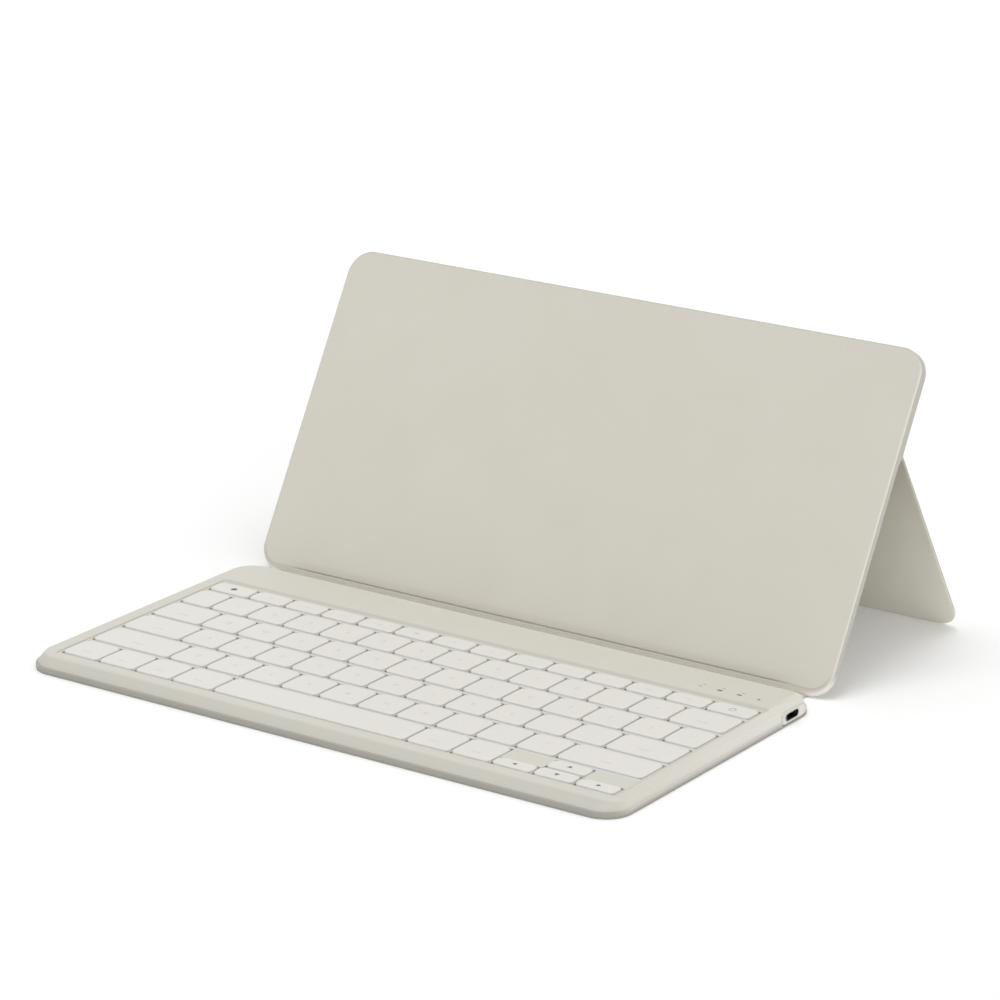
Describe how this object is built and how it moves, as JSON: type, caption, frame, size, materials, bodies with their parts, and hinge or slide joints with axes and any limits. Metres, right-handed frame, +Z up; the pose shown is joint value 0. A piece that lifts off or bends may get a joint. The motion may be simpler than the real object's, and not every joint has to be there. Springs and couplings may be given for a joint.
{
  "type": "tablet keyboard case",
  "caption": "Slim keyboard with a fold-over magnetic cover on a soft hinge strip and a hinged stand that props the cover up to hold a tablet.",
  "frame": {"origin": "middle of the keyboard's underside, on the desk", "axes": "+X to the right of the typist, +Y to the rear, +Z up"},
  "size_m": [0.2724, 0.2486, 0.1216],
  "materials": {
    "cover_skin": "matte coated skin, fine grain",
    "stand_skin": "matte coated skin, fine grain",
    "hinge_skin": "matte coated skin, fine grain",
    "base_skin": "matte coated skin, fine grain",
    "case_plastic": "soft satin moulding",
    "base_plastic": "satin moulding",
    "port_plastic": "satin moulding",
    "keycap_plastic": "satin, slightly dished",
    "stiff_board": "pressed fibre board",
    "plated_steel": "plated",
    "magnet_plating": "nickel plated",
    "switch_film": "printed film",
    "dome_rubber": "silicone",
    "guide_plastic": "moulded",
    "circuit_board": "solder mask",
    "battery_foil": "foil pouch",
    "port_insert": "moulded",
    "light_guide": "frosted clear"
  },
  "bodies": {
    "keyboard": {"underside_skin": "base_skin", "base_plate": "base_plastic", "base_band": "base_plastic", "board_standoffs": "guide_plastic", "top_case": "case_plastic", "key_frame": "case_plastic", "support_plate": "plated_steel", "switch_membrane": "switch_film", "dome_mat": "dome_rubber", "scissor_frames": "guide_plastic", "stabiliser_bars": "plated_steel", "main_board": "circuit_board", "battery_cell": "battery_foil", "membrane_ribbon": "switch_film", "port_bezel": "port_plastic", "port_shell": "plated_steel", "port_tongue": "port_insert", "status_light_guides": "light_guide", "case_screws": "plated_steel", "closing_magnets": "magnet_plating"},
    "spine": {"hinge_strip": "hinge_skin"},
    "cover": {"cover_face_skin": "cover_skin", "cover_board": "stiff_board", "cover_back_skin": "cover_skin", "recess_lining": "stand_skin", "tablet_magnets": "magnet_plating", "cover_closing_magnets": "magnet_plating", "stand_catch_magnets": "magnet_plating", "stand_hinge_brackets": "plated_steel", "stand_hinge_pins": "plated_steel"},
    "stand": {"stand_board": "stiff_board", "stand_outer_skin": "stand_skin", "stand_inner_skin": "stand_skin"},
    "function_keys": {"function_keys": "keycap_plastic"},
    "number_keys": {"number_keys": "keycap_plastic"},
    "upper_letter_keys": {"upper_letter_keys": "keycap_plastic"},
    "home_letter_keys": {"home_letter_keys": "keycap_plastic"},
    "lower_letter_keys": {"lower_letter_keys": "keycap_plastic"},
    "left_modifier_keys": {"left_modifier_keys": "keycap_plastic"},
    "right_modifier_keys": {"right_modifier_keys": "keycap_plastic"},
    "escape_key": {"escape_key": "keycap_plastic"},
    "lock_key": {"lock_key": "keycap_plastic"},
    "backspace_key": {"backspace_key": "keycap_plastic"},
    "tab_key": {"tab_key": "keycap_plastic"},
    "caps_lock_key": {"caps_lock_key": "keycap_plastic"},
    "return_key": {"return_key": "keycap_plastic"},
    "left_shift_key": {"left_shift_key": "keycap_plastic"},
    "right_shift_key": {"right_shift_key": "keycap_plastic"},
    "space_key": {"space_key": "keycap_plastic"},
    "left_arrow_key": {"left_arrow_key": "keycap_plastic"},
    "up_arrow_key": {"up_arrow_key": "keycap_plastic"},
    "down_arrow_key": {"down_arrow_key": "keycap_plastic"},
    "right_arrow_key": {"right_arrow_key": "keycap_plastic"}
  },
  "joints": [
    {"name": "spine_fold", "type": "hinge", "parent": "keyboard", "child": "spine", "pos_m": [0, 0.06965, 0.0005], "axis": [1, 0, 0], "range_deg": [0, 90]},
    {"name": "cover_fold", "type": "hinge", "parent": "spine", "child": "cover", "pos_m": [0, 0.07664, 0.0005], "axis": [1, 0, 0], "range_deg": [-60, 30]},
    {"name": "stand_hinge", "type": "hinge", "parent": "cover", "child": "stand", "pos_m": [0, 0.12729, 0.0846], "axis": [1, 0, 0], "range_deg": [-61, 24]},
    {"name": "function_keys_press", "type": "slide", "parent": "keyboard", "child": "function_keys", "axis": [0, 0, 1], "range_m": [-0.0012, 0], "stiffness_N_per_m": 4200, "springref_m": 0.0006, "deforming": ["dome_mat", "scissor_frames", "stabiliser_bars"]},
    {"name": "number_keys_press", "type": "slide", "parent": "keyboard", "child": "number_keys", "axis": [0, 0, 1], "range_m": [-0.0012, 0], "stiffness_N_per_m": 4550, "springref_m": 0.0006, "deforming": ["dome_mat", "scissor_frames", "stabiliser_bars"]},
    {"name": "upper_letter_keys_press", "type": "slide", "parent": "keyboard", "child": "upper_letter_keys", "axis": [0, 0, 1], "range_m": [-0.0012, 0], "stiffness_N_per_m": 4550, "springref_m": 0.0006, "deforming": ["dome_mat", "scissor_frames", "stabiliser_bars"]},
    {"name": "home_letter_keys_press", "type": "slide", "parent": "keyboard", "child": "home_letter_keys", "axis": [0, 0, 1], "range_m": [-0.0012, 0], "stiffness_N_per_m": 3850, "springref_m": 0.0006, "deforming": ["dome_mat", "scissor_frames", "stabiliser_bars"]},
    {"name": "lower_letter_keys_press", "type": "slide", "parent": "keyboard", "child": "lower_letter_keys", "axis": [0, 0, 1], "range_m": [-0.0012, 0], "stiffness_N_per_m": 3500, "springref_m": 0.0006, "deforming": ["dome_mat", "scissor_frames", "stabiliser_bars"]},
    {"name": "left_modifier_keys_press", "type": "slide", "parent": "keyboard", "child": "left_modifier_keys", "axis": [0, 0, 1], "range_m": [-0.0012, 0], "stiffness_N_per_m": 1400, "springref_m": 0.0006, "deforming": ["dome_mat", "scissor_frames", "stabiliser_bars"]},
    {"name": "right_modifier_keys_press", "type": "slide", "parent": "keyboard", "child": "right_modifier_keys", "axis": [0, 0, 1], "range_m": [-0.0012, 0], "stiffness_N_per_m": 700, "springref_m": 0.0006, "deforming": ["dome_mat", "scissor_frames", "stabiliser_bars"]},
    {"name": "escape_key_press", "type": "slide", "parent": "keyboard", "child": "escape_key", "axis": [0, 0, 1], "range_m": [-0.0012, 0], "stiffness_N_per_m": 350, "springref_m": 0.0006, "deforming": ["dome_mat", "scissor_frames", "stabiliser_bars"]},
    {"name": "lock_key_press", "type": "slide", "parent": "keyboard", "child": "lock_key", "axis": [0, 0, 1], "range_m": [-0.0012, 0], "stiffness_N_per_m": 350, "springref_m": 0.0006, "deforming": ["dome_mat", "scissor_frames", "stabiliser_bars"]},
    {"name": "backspace_key_press", "type": "slide", "parent": "keyboard", "child": "backspace_key", "axis": [0, 0, 1], "range_m": [-0.0012, 0], "stiffness_N_per_m": 350, "springref_m": 0.0006, "deforming": ["dome_mat", "scissor_frames", "stabiliser_bars"]},
    {"name": "tab_key_press", "type": "slide", "parent": "keyboard", "child": "tab_key", "axis": [0, 0, 1], "range_m": [-0.0012, 0], "stiffness_N_per_m": 350, "springref_m": 0.0006, "deforming": ["dome_mat", "scissor_frames", "stabiliser_bars"]},
    {"name": "caps_lock_key_press", "type": "slide", "parent": "keyboard", "child": "caps_lock_key", "axis": [0, 0, 1], "range_m": [-0.0012, 0], "stiffness_N_per_m": 350, "springref_m": 0.0006, "deforming": ["dome_mat", "scissor_frames", "stabiliser_bars"]},
    {"name": "return_key_press", "type": "slide", "parent": "keyboard", "child": "return_key", "axis": [0, 0, 1], "range_m": [-0.0012, 0], "stiffness_N_per_m": 350, "springref_m": 0.0006, "deforming": ["dome_mat", "scissor_frames", "stabiliser_bars"]},
    {"name": "left_shift_key_press", "type": "slide", "parent": "keyboard", "child": "left_shift_key", "axis": [0, 0, 1], "range_m": [-0.0012, 0], "stiffness_N_per_m": 350, "springref_m": 0.0006, "deforming": ["dome_mat", "scissor_frames", "stabiliser_bars"]},
    {"name": "right_shift_key_press", "type": "slide", "parent": "keyboard", "child": "right_shift_key", "axis": [0, 0, 1], "range_m": [-0.0012, 0], "stiffness_N_per_m": 350, "springref_m": 0.0006, "deforming": ["dome_mat", "scissor_frames", "stabiliser_bars"]},
    {"name": "space_key_press", "type": "slide", "parent": "keyboard", "child": "space_key", "axis": [0, 0, 1], "range_m": [-0.0012, 0], "stiffness_N_per_m": 350, "springref_m": 0.0006, "deforming": ["dome_mat", "scissor_frames", "stabiliser_bars"]},
    {"name": "left_arrow_key_press", "type": "slide", "parent": "keyboard", "child": "left_arrow_key", "axis": [0, 0, 1], "range_m": [-0.0012, 0], "stiffness_N_per_m": 350, "springref_m": 0.0006, "deforming": ["dome_mat", "scissor_frames", "stabiliser_bars"]},
    {"name": "up_arrow_key_press", "type": "slide", "parent": "keyboard", "child": "up_arrow_key", "axis": [0, 0, 1], "range_m": [-0.0012, 0], "stiffness_N_per_m": 350, "springref_m": 0.0006, "deforming": ["dome_mat", "scissor_frames", "stabiliser_bars"]},
    {"name": "down_arrow_key_press", "type": "slide", "parent": "keyboard", "child": "down_arrow_key", "axis": [0, 0, 1], "range_m": [-0.0012, 0], "stiffness_N_per_m": 350, "springref_m": 0.0006, "deforming": ["dome_mat", "scissor_frames", "stabiliser_bars"]},
    {"name": "right_arrow_key_press", "type": "slide", "parent": "keyboard", "child": "right_arrow_key", "axis": [0, 0, 1], "range_m": [-0.0012, 0], "stiffness_N_per_m": 350, "springref_m": 0.0006, "deforming": ["dome_mat", "scissor_frames", "stabiliser_bars"]}
  ]
}
